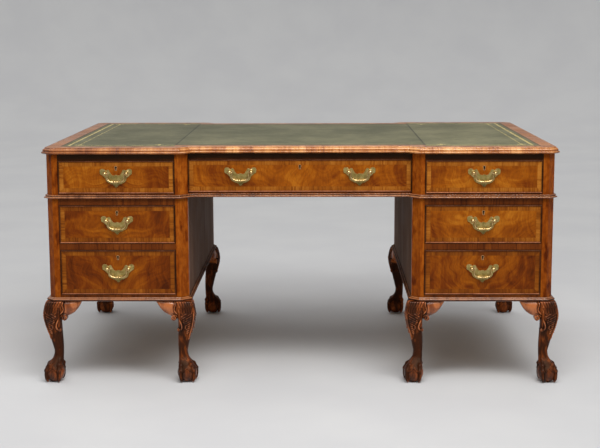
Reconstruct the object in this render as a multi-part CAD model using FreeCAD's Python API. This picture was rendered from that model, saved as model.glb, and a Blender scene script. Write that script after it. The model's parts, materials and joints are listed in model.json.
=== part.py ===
import FreeCAD, Part
import math
import os

os.makedirs("parts", exist_ok=True)

# Kneehole pedestal desk in walnut, in millimetres.
# The front faces -Y, +Z is up, and the origin is on the floor under the middle of the desk.

# Overall plan and height
desk_height = 790.0
carcass_width = 1674.0
carcass_depth = 1080.0
pedestal_width = 465.0
centre_setback = 40.0
corner_cant = 20.0
break_cant = 26.0

# Heights of the layers, from the top down
top_thickness = 22.0
top_rail_height = 21.0
frieze_drawer_height = 109.0
frieze_rail_height = 16.0
pedestal_rail_height = 23.0
upper_drawer_height = 127.0
middle_rail_height = 23.0
lower_drawer_height = 150.0
bottom_rail_height = 10.0
base_board_height = 12.0

# Carcass timbers
stile_width = 40.0
post_depth = 45.0
panel_thickness = 20.0
partition_thickness = 18.0
rail_depth = 60.0
dustboard_thickness = 8.0
guide_height = 14.0
stop_length = 34.0
stop_depth = 12.0
stop_height = 6.0
stop_gap = 0.3
stop_place_shares = (0.25, 0.75)

# Mouldings
top_moulding_projection = 15.0
waist_moulding_projection = 11.0
waist_moulding_height = 12.0
base_moulding_projection = 11.0

# Leather writing surface, let into the top
border_width = 42.0
leather_seam_x = 416.0
leather_thickness = 1.5

# Drawers
drawer_gap = 0.8
runner_gap = 0.3
front_thickness = 22.0
bead_thickness = 3.5
bead_projection = 2.5
drawer_length = 640.0
lining_thickness = 11.0
drawer_bottom_thickness = 7.0
drawer_bottom_raise = 9.0
drawer_back_drop = 10.0

# Locks
keyhole_drop = 22.5
keyhole_radius = 3.2
keyhole_slot_width = 3.4
keyhole_slot_drop = 9.0
thread_width = 1.6
thread_depth = 6.0
thread_proud = 0.4
lock_width = 54.0
lock_height = 44.0
lock_depth = 10.0
lock_edge = 1.0
bolt_width = 24.0
bolt_depth = 5.0
bolt_height = 30.0
bolt_throw = 8.0
bolt_gap = 0.3

# Handles
plate_width = 107.0
plate_height = 61.0
plate_thickness = 2.0
post_spacing = 71.0
post_rise = 12.5
post_reach = 10.0
post_ball_radius = 6.0
post_neck_radius = 3.5
post_collar_radius = 8.0
post_collar_height = 1.6
shank_gap = 0.2
nut_radius = 7.0
nut_height = 5.0
bail_radius = 2.3
bail_pin_gap = 0.05
bail_pin_reach = 4.0
bail_shoulder_x = 23.0
bail_shoulder_radius = 5.0
bail_corner_radius = 10.0
bail_drop = 28.0
bail_knop_radius = 3.6
centre_handle_share = 0.53

# Cabriole legs with knee brackets and ball-and-claw feet
knee_width = 60.0
ball_radius = 33.0
ball_flat = 2.0
ball_inset = 6.0
claw_radius = 7.0
claw_start_angle = 22.0
claw_sweep_angle = 98.0
ear_length = 108.0
ear_height = 67.0
ear_thickness = 24.0
ear_proud = 4.0

overrun = 5.0

# Leg sections as shares: height of the leg, then centre, half size and corner radius of the knee width
leg_section_shares = [
    (1.000, -0.335, 0.480, 0.20),
    (0.930, -0.235, 0.510, 0.24),
    (0.825, -0.135, 0.500, 0.26),
    (0.710, -0.160, 0.450, 0.26),
    (0.570, -0.265, 0.365, 0.26),
    (0.430, -0.355, 0.295, 0.24),
    (0.345, -0.380, 0.265, 0.22),
    (0.270, -0.320, 0.280, 0.23),
    (0.205, -0.215, 0.360, 0.29),
    (0.150, -0.140, 0.380, 0.31),
]

# Outlines as shares of a width and a height: two shares end a line, four give an arc's middle and end
top_profile_shares = [
    (0.0, 0.0), (0.62, 0.0), (0.78, 0.06), (1.0, 0.21, 0.78, 0.36), (0.70, 0.39),
    (0.66, 0.66, 0.34, 0.82), (0.30, 0.86), (0.27, 0.96, 0.16, 1.0), (0.0, 1.0), (0.0, 0.0),
]
waist_profile_shares = [
    (0.0, 0.0), (0.70, 0.0), (1.0, 0.21, 0.72, 0.42), (0.62, 0.45), (0.44, 0.54, 0.42, 0.68),
    (0.52, 0.70), (0.66, 0.81, 0.50, 0.92), (0.34, 1.0), (0.0, 1.0), (0.0, 0.0),
]
base_profile_shares = [
    (0.0, 0.0), (0.72, 0.0), (1.0, 0.33, 0.78, 0.70), (0.45, 0.78, 0.25, 1.0), (0.0, 1.0), (0.0, 0.0),
]
ear_shares = [
    (-0.28, 0.0), (-1.0, 0.0), (-0.92, -0.31, -0.79, -0.51), (-0.67, -0.61, -0.555, -0.66),
    (-0.525, -0.83, -0.44, -0.93), (-0.36, -0.93, -0.30, -0.88), (-0.28, -0.88), (-0.28, 0.0),
]
half_plate_shares = [
    (0.0, -0.08), (0.03, -0.085, 0.055, -0.12), (0.12, -0.09), (0.165, 0.015, 0.20, 0.13),
    (0.24, 0.20, 0.29, 0.175), (0.32, 0.145), (0.35, 0.215, 0.41, 0.245), (0.485, 0.19, 0.49, 0.06),
    (0.475, -0.045, 0.43, -0.08), (0.39, -0.155), (0.355, -0.205), (0.325, -0.25), (0.285, -0.43, 0.195, -0.53),
    (0.145, -0.585, 0.10, -0.575), (0.085, -0.635, 0.045, -0.66), (0.03, -0.735, 0.0, -0.745), (0.0, -0.08),
]

# Levels and planes worked out from the sizes above
top_underside = desk_height - top_thickness
frieze_drawer_top = top_underside - top_rail_height
frieze_drawer_bottom = frieze_drawer_top - frieze_drawer_height
frieze_bottom = frieze_drawer_bottom - frieze_rail_height
upper_drawer_top = frieze_bottom - pedestal_rail_height
upper_drawer_bottom = upper_drawer_top - upper_drawer_height
lower_drawer_top = upper_drawer_bottom - middle_rail_height
lower_drawer_bottom = lower_drawer_top - lower_drawer_height
base_board_top = lower_drawer_bottom - bottom_rail_height
leg_height = base_board_top - base_board_height

outer_x = carcass_width / 2
inner_x = outer_x - pedestal_width
front_y = -carcass_depth / 2
back_y = carcass_depth / 2
centre_front_y = front_y + centre_setback
centre_back_y = back_y - centre_setback
opening_inner_x = inner_x + stile_width
opening_outer_x = outer_x - stile_width
opening_width = opening_outer_x - opening_inner_x
opening_centre_x = (opening_inner_x + opening_outer_x) / 2
centre_handle_x = inner_x * centre_handle_share

ORIGIN = FreeCAD.Vector(0, 0, 0)
X_AXIS = FreeCAD.Vector(1, 0, 0)
Y_AXIS = FreeCAD.Vector(0, 1, 0)
Z_AXIS = FreeCAD.Vector(0, 0, 1)


# General shapes

def block(low, high):
    """Box between two opposite corners."""
    size = FreeCAD.Vector(*high) - FreeCAD.Vector(*low)
    return Part.makeBox(size.x, size.y, size.z, FreeCAD.Vector(*low))


def prism(corners, low, high):
    """Upright prism on a plan outline given by its corners."""
    points = [FreeCAD.Vector(x, y, low) for x, y in corners]
    return Part.Face(Part.makePolygon(points + points[:1])).extrude(Z_AXIS * (high - low))


def mirrored(shape, axis):
    """Copy of a shape on the other side of the plane through the origin across an axis."""
    return shape.mirror(ORIGIN, axis)


def moved(shape, x, y, z):
    """Copy of a shape, shifted."""
    copy = shape.copy()
    copy.translate(FreeCAD.Vector(x, y, z))
    return copy


def on_front(shape, x, y, z):
    """Copy of a shape drawn flat, stood up so that its top side faces the front."""
    copy = shape.copy()
    copy.rotate(ORIGIN, X_AXIS, 90)
    copy.translate(FreeCAD.Vector(x, y, z))
    return copy


def outline(shares, width, height):
    """Flat closed face from an outline's shares of a width and a height."""
    def place(x_share, y_share):
        return FreeCAD.Vector(x_share * width, y_share * height, 0)

    here = place(*shares[0])
    edges = []
    for step in shares[1:]:
        there = place(*step[-2:])
        if len(step) > 2:
            edges.append(Part.Arc(here, place(*step[:2]), there).toShape())
        else:
            edges.append(Part.LineSegment(here, there).toShape())
        here = there
    return Part.Face(Part.Wire(edges))


def mitred_lengths(corners, profile, level):
    """Straight lengths of a moulding round a plan outline, mitred where they meet.

    The corners run anticlockwise. The profile is drawn flat: x stands out from the outline, y is up.
    """
    count = len(corners)
    points = [FreeCAD.Vector(x, y, 0) for x, y in corners]
    runs = [(points[(i + 1) % count] - points[i]) for i in range(count)]
    outward = [FreeCAD.Vector(run.y, -run.x, 0).normalize() for run in runs]
    mitres = []
    for i in range(count):
        both = outward[i - 1] + outward[i]
        mitres.append(both * (1 / (1 + outward[i - 1].dot(outward[i]))))

    upright = profile.copy()
    upright.rotate(ORIGIN, X_AXIS, 90)
    box = upright.BoundBox
    lengths = []
    for i in range(count):
        after = (i + 1) % count
        bar = moved(upright, 0, -runs[i].Length, 0).extrude(Y_AXIS * (runs[i].Length * 3))
        bar.rotate(ORIGIN, Z_AXIS, math.degrees(math.atan2(outward[i].y, outward[i].x)))
        bar.translate(points[i] + Z_AXIS * level)
        wedge = [
            points[i] + mitres[i] * box.XMin, points[i] + mitres[i] * box.XMax,
            points[after] + mitres[after] * box.XMax, points[after] + mitres[after] * box.XMin,
        ]
        plan = [(point.x, point.y) for point in wedge]
        lengths.append(bar.common(prism(plan, level + box.ZMin - overrun, level + box.ZMax + overrun)))
    return lengths


def save(name, solids):
    """Write one piece, or a group of like pieces, as a node."""
    flat = []
    for solid in solids:
        flat.extend(solid.Solids)
    Part.makeCompound(flat).exportStep("parts/" + name + ".step")


# Plan outlines, anticlockwise from above

def desk_plan():
    """Plan of the top and the frieze: canted corners, with the middle set back front and rear."""
    quarter = [
        (inner_x, centre_front_y), (inner_x, front_y + break_cant), (inner_x + break_cant, front_y),
        (outer_x - corner_cant, front_y), (outer_x, front_y + corner_cant),
    ]
    right = quarter + [(x, -y) for x, y in reversed(quarter)]
    return right + [(-x, y) for x, y in reversed(right)]


def pedestal_plan():
    """Plan of the right pedestal, canted at its four corners."""
    front = [
        (inner_x, front_y + break_cant), (inner_x + break_cant, front_y),
        (outer_x - corner_cant, front_y), (outer_x, front_y + corner_cant),
    ]
    return front + [(x, -y) for x, y in reversed(front)]


def post_plans():
    """Plans of the right pedestal's two front corner posts."""
    post_back_y = front_y + post_depth
    inner = [
        (inner_x, post_back_y), (inner_x, front_y + break_cant), (inner_x + break_cant, front_y),
        (opening_inner_x, front_y), (opening_inner_x, post_back_y),
    ]
    outer = [
        (opening_outer_x, post_back_y), (opening_outer_x, front_y), (outer_x - corner_cant, front_y),
        (outer_x, front_y + corner_cant), (outer_x, post_back_y),
    ]
    return [inner, outer]


def corner_posts(low, high):
    """The four corner posts over the right pedestal, between two levels."""
    front = [prism(plan, low, high) for plan in post_plans()]
    return front + [mirrored(post, Y_AXIS) for post in front]


# Top

def build_top():
    """Board with its recess, the mitred edge moulding and the three leathers."""
    board = prism(desk_plan(), top_underside, desk_height)
    side_y = back_y - border_width
    centre_y = centre_back_y - border_width
    leather_low = desk_height - leather_thickness
    side = block((leather_seam_x, -side_y, leather_low), (outer_x - border_width, side_y, desk_height))
    centre = block((-leather_seam_x, -centre_y, leather_low), (leather_seam_x, centre_y, desk_height))
    leathers = [mirrored(side, X_AXIS), centre, side]
    save("top_board", [board.cut(leathers)])
    save("leather_panels", leathers)
    profile = outline(top_profile_shares, top_moulding_projection, top_thickness)
    save("top_moulding", mitred_lengths(desk_plan(), profile, top_underside))


# Rails, dustboards and stops

def bolt_mortise(x, face_y, level):
    """Hole in the underside of a rail that a lock's bolt shoots into."""
    middle_y = face_y + front_thickness + lock_depth / 2
    half_width = bolt_width / 2 + bolt_gap
    half_depth = bolt_depth / 2 + bolt_gap
    return block((x - half_width, middle_y - half_depth, level - overrun),
                 (x + half_width, middle_y + half_depth, level + bolt_throw + overrun))


def rail(low_x, high_x, face_y, low, high, mortised):
    """Front rail, with a mortise above a locking drawer."""
    timber = block((low_x, face_y, low), (high_x, face_y + rail_depth, high))
    if mortised:
        timber = timber.cut(bolt_mortise((low_x + high_x) / 2, face_y, low))
    return timber


def stops(low_x, high_x, face_y, level):
    """Two blocks on a rail that a closing drawer front meets."""
    near = face_y + front_thickness + stop_gap
    blocks = []
    for place_share in stop_place_shares:
        middle = low_x + (high_x - low_x) * place_share
        blocks.append(block((middle - stop_length / 2, near, level),
                            (middle + stop_length / 2, near + stop_depth, level + stop_height)))
    return blocks


def dustboard(low_x, high_x, low_y, high_y, level):
    """Thin board that a drawer runs on, its top at a level."""
    return block((low_x, low_y, level - dustboard_thickness), (high_x, high_y, level))


def guides(side_low_x, side_high_x, low_y, level):
    """Strips beside a drawer that keep it straight, between the carcass sides and the opening."""
    far_y = back_y - post_depth
    return [
        block((side_low_x, low_y, level), (opening_inner_x, far_y, level + guide_height)),
        block((opening_outer_x, low_y, level), (side_high_x, far_y, level + guide_height)),
    ]


# Frieze

def build_frieze():
    """Upper carcass with three drawer openings, and the moulding round its foot."""
    posts = corner_posts(frieze_bottom, top_underside)
    save("frieze_posts", posts + [mirrored(post, X_AXIS) for post in posts])

    side_y = back_y - post_depth
    end = block((outer_x - panel_thickness, -side_y, frieze_bottom), (outer_x, side_y, top_underside))
    save("frieze_ends", [mirrored(end, X_AXIS), end])
    partition = block((inner_x, -side_y, frieze_bottom),
                      (inner_x + partition_thickness, side_y, top_underside))
    save("frieze_partitions", [mirrored(partition, X_AXIS), partition])

    side_back = block((opening_inner_x, back_y - panel_thickness, frieze_bottom),
                      (opening_outer_x, back_y, top_underside))
    centre_back = block((-inner_x, centre_back_y - panel_thickness, frieze_bottom),
                        (inner_x, centre_back_y, top_underside))
    save("frieze_backs", [mirrored(side_back, X_AXIS), centre_back, side_back])

    side_rails = [
        rail(opening_inner_x, opening_outer_x, front_y, frieze_bottom, frieze_drawer_bottom, False),
        rail(opening_inner_x, opening_outer_x, front_y, frieze_drawer_top, top_underside, True),
    ]
    side_rails += stops(opening_inner_x, opening_outer_x, front_y, frieze_drawer_bottom)
    centre_rails = [
        rail(-inner_x, inner_x, centre_front_y, frieze_bottom, frieze_drawer_bottom, False),
        rail(-inner_x, inner_x, centre_front_y, frieze_drawer_top, top_underside, True),
    ]
    centre_rails += stops(-inner_x, inner_x, centre_front_y, frieze_drawer_bottom)
    save("frieze_rails", [mirrored(piece, X_AXIS) for piece in side_rails] + centre_rails + side_rails)

    low_x = inner_x + partition_thickness
    high_x = outer_x - panel_thickness
    side_boards = [dustboard(low_x, high_x, front_y + rail_depth, side_y, frieze_drawer_bottom)]
    side_boards += guides(low_x, high_x, front_y + rail_depth, frieze_drawer_bottom)
    centre_board = dustboard(-inner_x, inner_x, centre_front_y + rail_depth,
                             centre_back_y - panel_thickness, frieze_drawer_bottom)
    save("frieze_dustboards", [mirrored(piece, X_AXIS) for piece in side_boards] + [centre_board] + side_boards)

    profile = outline(waist_profile_shares, waist_moulding_projection, waist_moulding_height)
    save("waist_moulding", mitred_lengths(desk_plan(), profile, frieze_bottom))


# Pedestals

def build_pedestal(side_name, place):
    """One pedestal; place puts a piece of the right pedestal on its own side."""
    def save_side(piece_name, solids):
        save("pedestal_" + side_name + "_" + piece_name, [place(solid) for solid in solids])

    side_y = back_y - post_depth
    save_side("posts", corner_posts(base_board_top, frieze_bottom))
    save_side("sides", [
        block((inner_x, -side_y, base_board_top), (inner_x + panel_thickness, side_y, frieze_bottom)),
        block((outer_x - panel_thickness, -side_y, base_board_top), (outer_x, side_y, frieze_bottom)),
    ])
    save_side("back", [
        block((opening_inner_x, back_y - panel_thickness, base_board_top),
              (opening_outer_x, back_y, frieze_bottom)),
    ])

    rails = [
        rail(opening_inner_x, opening_outer_x, front_y, upper_drawer_top, frieze_bottom, True),
        rail(opening_inner_x, opening_outer_x, front_y, lower_drawer_top, upper_drawer_bottom, True),
        rail(opening_inner_x, opening_outer_x, front_y, base_board_top, lower_drawer_bottom, False),
    ]
    rails += stops(opening_inner_x, opening_outer_x, front_y, upper_drawer_bottom)
    rails += stops(opening_inner_x, opening_outer_x, front_y, lower_drawer_bottom)
    save_side("rails", rails)

    low_x = inner_x + panel_thickness
    high_x = outer_x - panel_thickness
    boards = [
        dustboard(low_x, high_x, front_y + rail_depth, side_y, level)
        for level in (frieze_bottom, upper_drawer_bottom, lower_drawer_bottom)
    ]
    for level in (upper_drawer_bottom, lower_drawer_bottom):
        boards += guides(low_x, high_x, front_y + rail_depth, level)
    boards.append(prism(pedestal_plan(), leg_height, base_board_top))
    save_side("boards", boards)

    profile = outline(base_profile_shares, base_moulding_projection, base_board_height)
    save_side("base_moulding", mitred_lengths(pedestal_plan(), profile, leg_height))

    legs = []
    for corner_x, across in ((inner_x, -1), (outer_x, 1)):
        for corner_y, along in ((front_y, -1), (back_y, 1)):
            for piece in LEG_PIECES:
                turned = piece if across > 0 else mirrored(piece, X_AXIS)
                turned = turned if along > 0 else mirrored(turned, Y_AXIS)
                legs.append(moved(turned, corner_x, corner_y, 0))
    save_side("legs", legs)


# Cabriole leg, drawn for a corner whose faces are x = 0 and y = 0 and that points to +x, +y

def rounded_square(centre, half, radius, level):
    """Closed wire of a square with round corners, at a level."""
    flat = half - radius
    ends = [(half, -flat), (half, flat), (flat, half), (-flat, half),
            (-half, flat), (-half, -flat), (-flat, -half), (flat, -half)]
    points = [FreeCAD.Vector(centre + x, centre + y, level) for x, y in ends]
    reach = flat + radius * math.cos(math.pi / 4)
    middles = [FreeCAD.Vector(centre + x * reach, centre + y * reach, level)
               for x, y in ((1, 1), (-1, 1), (-1, -1), (1, -1))]
    edges = []
    for i in range(4):
        start, end = points[2 * i], points[2 * i + 1]
        after = points[(2 * i + 2) % 8]
        edges.append(Part.LineSegment(start, end).toShape())
        edges.append(Part.Arc(end, middles[i], after).toShape())
    return Part.Wire(edges)


def claw(angle):
    """Toe of the foot, bent over the ball from the ankle towards the floor."""
    middle = FreeCAD.Vector(-ball_inset, -ball_inset, ball_radius - ball_flat)
    side = FreeCAD.Vector(-math.sin(math.radians(angle)), math.cos(math.radians(angle)), 0)
    start = middle + Z_AXIS * ball_radius
    along = FreeCAD.Vector(math.cos(math.radians(angle)), math.sin(math.radians(angle)), 0)
    toe = Part.Face(Part.Wire(Part.makeCircle(claw_radius, start, along)))
    toe.rotate(middle, side, claw_start_angle)
    return toe.revolve(middle, side, claw_sweep_angle)


def build_leg():
    """The leg with its foot, and the two brackets that run from its knee under the base."""
    sections = [
        rounded_square(centre * knee_width, half * knee_width, radius * knee_width, height * leg_height)
        for height, centre, half, radius in leg_section_shares
    ]
    shaft = Part.makeLoft(sections, True, False)
    middle = FreeCAD.Vector(-ball_inset, -ball_inset, ball_radius - ball_flat)
    ball = Part.makeSphere(ball_radius, middle)
    claws = [claw(angle) for angle in (45, 135, 225, 315)]
    leg = shaft.fuse([ball] + claws)
    reach = knee_width * 2
    leg = leg.cut(block((-reach, -reach, -reach), (reach, reach, 0)))
    ear_outline = outline(ear_shares, ear_length, ear_height)
    ear_outline.rotate(ORIGIN, X_AXIS, 90)
    ear = moved(ear_outline, 0, ear_proud - ear_thickness, leg_height).extrude(Y_AXIS * ear_thickness)
    ear = ear.cut(leg)
    other_ear = ear.mirror(ORIGIN, FreeCAD.Vector(1, -1, 0))
    return [leg, ear, other_ear]


# Drawers, drawn flat: x across, y up from the opening's foot, z out from the front face

def keyhole(grown, low, high):
    """Prism of the keyhole: a round eye over a slot, grown all round by a thread's width."""
    eye = Part.makeCylinder(keyhole_radius + grown, high - low, FreeCAD.Vector(0, 0, low))
    half_slot = keyhole_slot_width / 2 + grown
    slot = block((-half_slot, -keyhole_slot_drop - grown, low), (half_slot, 0, high))
    return eye.fuse(slot).removeSplitter()


def handle_post():
    """Turned post with its collar, ball and shank, its cross hole open towards the middle, and its nut."""
    shank_length = front_thickness + nut_height
    collar = Part.makeCylinder(post_collar_radius, post_collar_height, FreeCAD.Vector(0, 0, plate_thickness))
    neck = Part.makeCylinder(post_neck_radius, shank_length + plate_thickness + post_reach,
                             FreeCAD.Vector(0, 0, -shank_length))
    ball = Part.makeSphere(post_ball_radius, FreeCAD.Vector(0, 0, plate_thickness + post_reach))
    hole = Part.makeCylinder(bail_radius + bail_pin_gap, bail_pin_reach + bail_pin_gap + post_ball_radius * 2,
                             FreeCAD.Vector(bail_pin_reach + bail_pin_gap, 0, plate_thickness + post_reach),
                             X_AXIS * -1)
    post = neck.fuse([collar, ball]).removeSplitter().cut(hole)
    nut = Part.makeCylinder(nut_radius, nut_height, FreeCAD.Vector(0, 0, -shank_length))
    nut = nut.cut(Part.makeCylinder(post_neck_radius, shank_length, FreeCAD.Vector(0, 0, -shank_length)))
    return [post, nut]


def back_plate():
    """Shaped plate behind the bail, with a hole for each post."""
    half = outline(half_plate_shares, plate_width, plate_height).extrude(Z_AXIS * plate_thickness)
    plate = half.fuse(mirrored(half, X_AXIS)).removeSplitter()
    for x in (-post_spacing / 2, post_spacing / 2):
        plate = plate.cut(Part.makeCylinder(post_neck_radius, plate_thickness, FreeCAD.Vector(x, 0, 0)))
    return plate


def bail():
    """Hanging bail: pins into the posts, round shoulders, straight sides and a knop under its middle."""
    reach = post_spacing / 2 + bail_pin_reach
    top = bail_shoulder_x + bail_shoulder_radius
    foot = bail_shoulder_x - bail_corner_radius
    slant = math.cos(math.pi / 4)
    stretches = [
        [(reach, 0), (top, 0)],
        [(top, 0), (top - bail_shoulder_radius * slant, bail_shoulder_radius * (slant - 1)),
         (bail_shoulder_x, -bail_shoulder_radius)],
        [(bail_shoulder_x, -bail_shoulder_radius), (bail_shoulder_x, bail_corner_radius - bail_drop)],
        [(bail_shoulder_x, bail_corner_radius - bail_drop),
         (foot + bail_corner_radius * slant, bail_corner_radius * (1 - slant) - bail_drop), (foot, -bail_drop)],
        [(foot, -bail_drop), (0, -bail_drop)],
    ]
    level = plate_thickness + post_reach
    edges = []
    for stretch in stretches:
        points = [FreeCAD.Vector(x, y, level) for x, y in stretch]
        curve = Part.Arc(*points) if len(points) > 2 else Part.LineSegment(*points)
        edges.append(curve.toShape())
    path = Part.Wire(edges + [mirrored(edge, X_AXIS) for edge in reversed(edges)])
    section = Part.Wire(Part.makeCircle(bail_radius, FreeCAD.Vector(reach, 0, level), X_AXIS))
    rod = path.makePipeShell([section], True, False)
    knop = Part.makeSphere(bail_knop_radius, FreeCAD.Vector(0, -bail_drop, level), X_AXIS)
    return rod.fuse(knop)


def drawer_box(width, height):
    """Two sides, a bottom under the back, and the back, behind the front."""
    half = width / 2 - drawer_gap
    near = -front_thickness
    far = -drawer_length
    bottom_low = runner_gap + drawer_bottom_raise
    bottom_high = bottom_low + drawer_bottom_thickness
    side = block((half - lining_thickness, runner_gap, far), (half, height - drawer_gap, near))
    bottom = block((lining_thickness - half, bottom_low, far), (half - lining_thickness, bottom_high, near))
    back = block((lining_thickness - half, bottom_high, far),
                 (half - lining_thickness, height - drawer_gap - drawer_back_drop, far + lining_thickness))
    return [mirrored(side, X_AXIS), side, bottom, back]


def drawer_front(width, height, handle_places):
    """Veneered board pierced for the lock and handles, inside four mitred cock beads."""
    half = width / 2 - drawer_gap - bead_thickness
    low = runner_gap + bead_thickness
    high = height - drawer_gap - bead_thickness
    board = block((-half, low, -front_thickness), (half, high, 0))
    key_y = height - keyhole_drop
    board = board.cut(moved(keyhole(0, -front_thickness, 0), 0, key_y, 0))
    board = board.cut(moved(keyhole(thread_width, -thread_depth, 0), 0, key_y, 0))
    for x in handle_places:
        for post_x in (x - post_spacing / 2, x + post_spacing / 2):
            place = FreeCAD.Vector(post_x, height / 2 + post_rise, -front_thickness)
            board = board.cut(Part.makeCylinder(post_neck_radius + shank_gap, front_thickness, place))

    nose = bead_thickness / 2
    near = bead_projection - nose
    corners = [(0, -front_thickness), (bead_thickness, -front_thickness), (bead_thickness, near), (0, near)]
    points = [FreeCAD.Vector(x, y, 0) for x, y in corners]
    edges = [Part.LineSegment(points[i], points[i + 1]).toShape() for i in range(2)]
    edges.append(Part.Arc(points[2], FreeCAD.Vector(nose, bead_projection, 0), points[3]).toShape())
    edges.append(Part.LineSegment(points[3], points[0]).toShape())
    frame = [(-half, low), (half, low), (half, high), (-half, high)]
    return [board] + mitred_lengths(frame, Part.Face(Part.Wire(edges)), 0)


def lock_pieces(height):
    """Lock case with its bolt's slot, the bolt, and the brass thread round the keyhole."""
    top = height - drawer_gap - lock_edge
    near = -front_thickness
    case = block((-lock_width / 2, top - lock_height, near - lock_depth), (lock_width / 2, top, near))
    middle = near - lock_depth / 2
    half_width = bolt_width / 2
    half_depth = bolt_depth / 2
    slot = block((-half_width - bolt_gap, top - bolt_height - bolt_gap, middle - half_depth - bolt_gap),
                 (half_width + bolt_gap, top + overrun, middle + half_depth + bolt_gap))
    bolt = block((-half_width, top - bolt_height, middle - half_depth), (half_width, top, middle + half_depth))
    thread = keyhole(thread_width, -thread_depth, thread_proud).cut(keyhole(0, -thread_depth, thread_proud))
    return case.cut(slot), bolt, moved(thread, 0, height - keyhole_drop, 0)


def build_drawer(name, width, height, x, face_y, level, handle_places):
    """One drawer with its front, linings, brasses, lock bolt and bails."""
    def stand(solids):
        return [on_front(solid, x, face_y, level) for solid in solids]

    save("drawer_front_" + name, stand(drawer_front(width, height, handle_places)))
    save("drawer_box_" + name, stand(drawer_box(width, height)))
    case, bolt, thread = lock_pieces(height)
    brasses = [case, thread]
    post_y = height / 2 + post_rise
    for number, handle_x in enumerate(handle_places):
        outer = [moved(piece, post_spacing / 2, 0, 0) for piece in HANDLE_POST]
        fittings = [BACK_PLATE] + outer + [mirrored(piece, X_AXIS) for piece in outer]
        brasses += [moved(piece, handle_x, post_y, 0) for piece in fittings]
        side = ("_left", "_right")[number] if len(handle_places) > 1 else ""
        save("bail_" + name + side, stand([moved(BAIL, handle_x, post_y, 0)]))
    save("drawer_brasses_" + name, stand(brasses))
    save("lock_bolt_" + name, stand([bolt]))


LEG_PIECES = build_leg()
HANDLE_POST = handle_post()
BACK_PLATE = back_plate()
BAIL = bail()

build_top()
build_frieze()
build_pedestal("left", lambda piece: mirrored(piece, X_AXIS))
build_pedestal("right", lambda piece: piece)

build_drawer("frieze_centre", inner_x * 2, frieze_drawer_height, 0, centre_front_y, frieze_drawer_bottom,
             [-centre_handle_x, centre_handle_x])
for side_name, side in (("left", -1), ("right", 1)):
    for row, row_height, row_bottom in (
        ("frieze", frieze_drawer_height, frieze_drawer_bottom),
        ("upper", upper_drawer_height, upper_drawer_bottom),
        ("lower", lower_drawer_height, lower_drawer_bottom),
    ):
        build_drawer(row + "_" + side_name, opening_width, row_height, side * opening_centre_x, front_y,
                     row_bottom, [0])
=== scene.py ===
import json
import math

import bpy
import numpy as np
from mathutils import Matrix, Vector


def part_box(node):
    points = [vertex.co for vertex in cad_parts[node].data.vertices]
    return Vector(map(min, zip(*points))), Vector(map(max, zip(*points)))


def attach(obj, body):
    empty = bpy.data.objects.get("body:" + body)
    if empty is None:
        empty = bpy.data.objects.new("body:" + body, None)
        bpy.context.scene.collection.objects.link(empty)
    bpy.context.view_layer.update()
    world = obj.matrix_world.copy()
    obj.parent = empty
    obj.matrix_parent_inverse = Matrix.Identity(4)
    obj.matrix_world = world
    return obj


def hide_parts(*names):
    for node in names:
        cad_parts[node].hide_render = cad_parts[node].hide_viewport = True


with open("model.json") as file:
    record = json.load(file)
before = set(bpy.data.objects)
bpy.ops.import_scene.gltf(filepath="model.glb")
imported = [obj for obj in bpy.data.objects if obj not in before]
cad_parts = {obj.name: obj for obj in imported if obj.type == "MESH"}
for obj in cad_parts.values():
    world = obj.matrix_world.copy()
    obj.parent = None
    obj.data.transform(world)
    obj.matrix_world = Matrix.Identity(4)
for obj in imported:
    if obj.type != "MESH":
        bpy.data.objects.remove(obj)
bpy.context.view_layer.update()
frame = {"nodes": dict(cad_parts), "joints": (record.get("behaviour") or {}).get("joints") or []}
nodes = frame["nodes"]

# Where the photograph was taken from: metres, degrees, and millimetres of lens
camera_place = Vector((0.0668, -4.7899, 1.1913))
camera_tilt = 8.761
camera_pan = -0.893
camera_roll = -0.181
camera_lens = 78.16

# Faces and levels of the carcass, read from the frame, in metres
pedestal_low, pedestal_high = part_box("pedestal_right_posts")
inner_x = pedestal_low.x
outer_x = pedestal_high.x
half_depth = pedestal_high.y
leg_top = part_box("pedestal_right_base_moulding")[0].z
side_drawer_low, side_drawer_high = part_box("drawer_front_frieze_left")
frieze_drawer_top = side_drawer_high.z
centre_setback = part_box("drawer_front_frieze_centre")[0].y - side_drawer_low.y

# Distances from the middle, in metres: up to the first, pedestals face the kneehole; up to the second,
# the top is set back; beyond the third, mouldings run along the ends
kneehole_face_x = inner_x + 0.010
top_break_x = inner_x + 0.013
end_runs_x = inner_x * 2

# Veneers and beads, and how far painted shade reaches beside the beads, beside the drawers and under the
# top moulding, in metres
veneer_thickness = 0.0015
banding_width = 0.0145
panel_banding_width = 0.030
banding_line = 0.0009
joint_width = 0.0011
banding_length = 0.09
rail_facing_length = 0.13
top_banding_length = 0.12
top_edge_length = 0.085
waist_length = 0.11
base_length = 0.12
moulding_corner = 0.02
bead_width = 0.0035
bead_rise = 0.0025
bead_shade_reach = 0.005
bead_gap_shade = (0.0004, 0.0014)
shade_edge_start = 0.0005
shade_edge_reach = 0.0035
shade_edge_depth = 0.03
top_shadow_below = 0.003
top_shadow_above = 0.006

# Leathers and their tooling, in metres
leather_seam_x = 0.416
leather_end_x, leather_end_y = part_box("leather_panels")[1].xy
seam_reach = 0.0042
fade_reach = 0.03
border_dirt = (0.002, 0.006)
tool_line_in = 0.024
tool_line_width = 0.0072
tool_fillet_in = 0.056
tool_fillet_width = 0.0026
tool_edge = (-0.0003, 0.0006)
notch_pitch = 0.007
dot_pitch = 0.0055
flower_radius = 0.012
petal_height = 0.005
flower_eye = 0.003

# Brasses, in metres: the thread at a keyhole, and how far above their lower tip plates are darkened as a
# painted shadow of the bail
thread_reach = 0.008
keyhole_low = 0.038
plate_thickness = 0.0004
plate_shadow_reach = (0.005, 0.020)

# Tails of the drawer joints, in metres; their half width and its slope are shares of their pitch
tail_length = 0.017
tail_count = 4
tail_half = 0.27
tail_slope = 0.1
tail_line = 0.0006
tail_end_line = 0.0007
tail_face = 0.0008

# Depth of the surface relief, in metres
wood_depth = 0.00012
oak_depth = 0.00015
brass_depth = 0.00008

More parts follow.
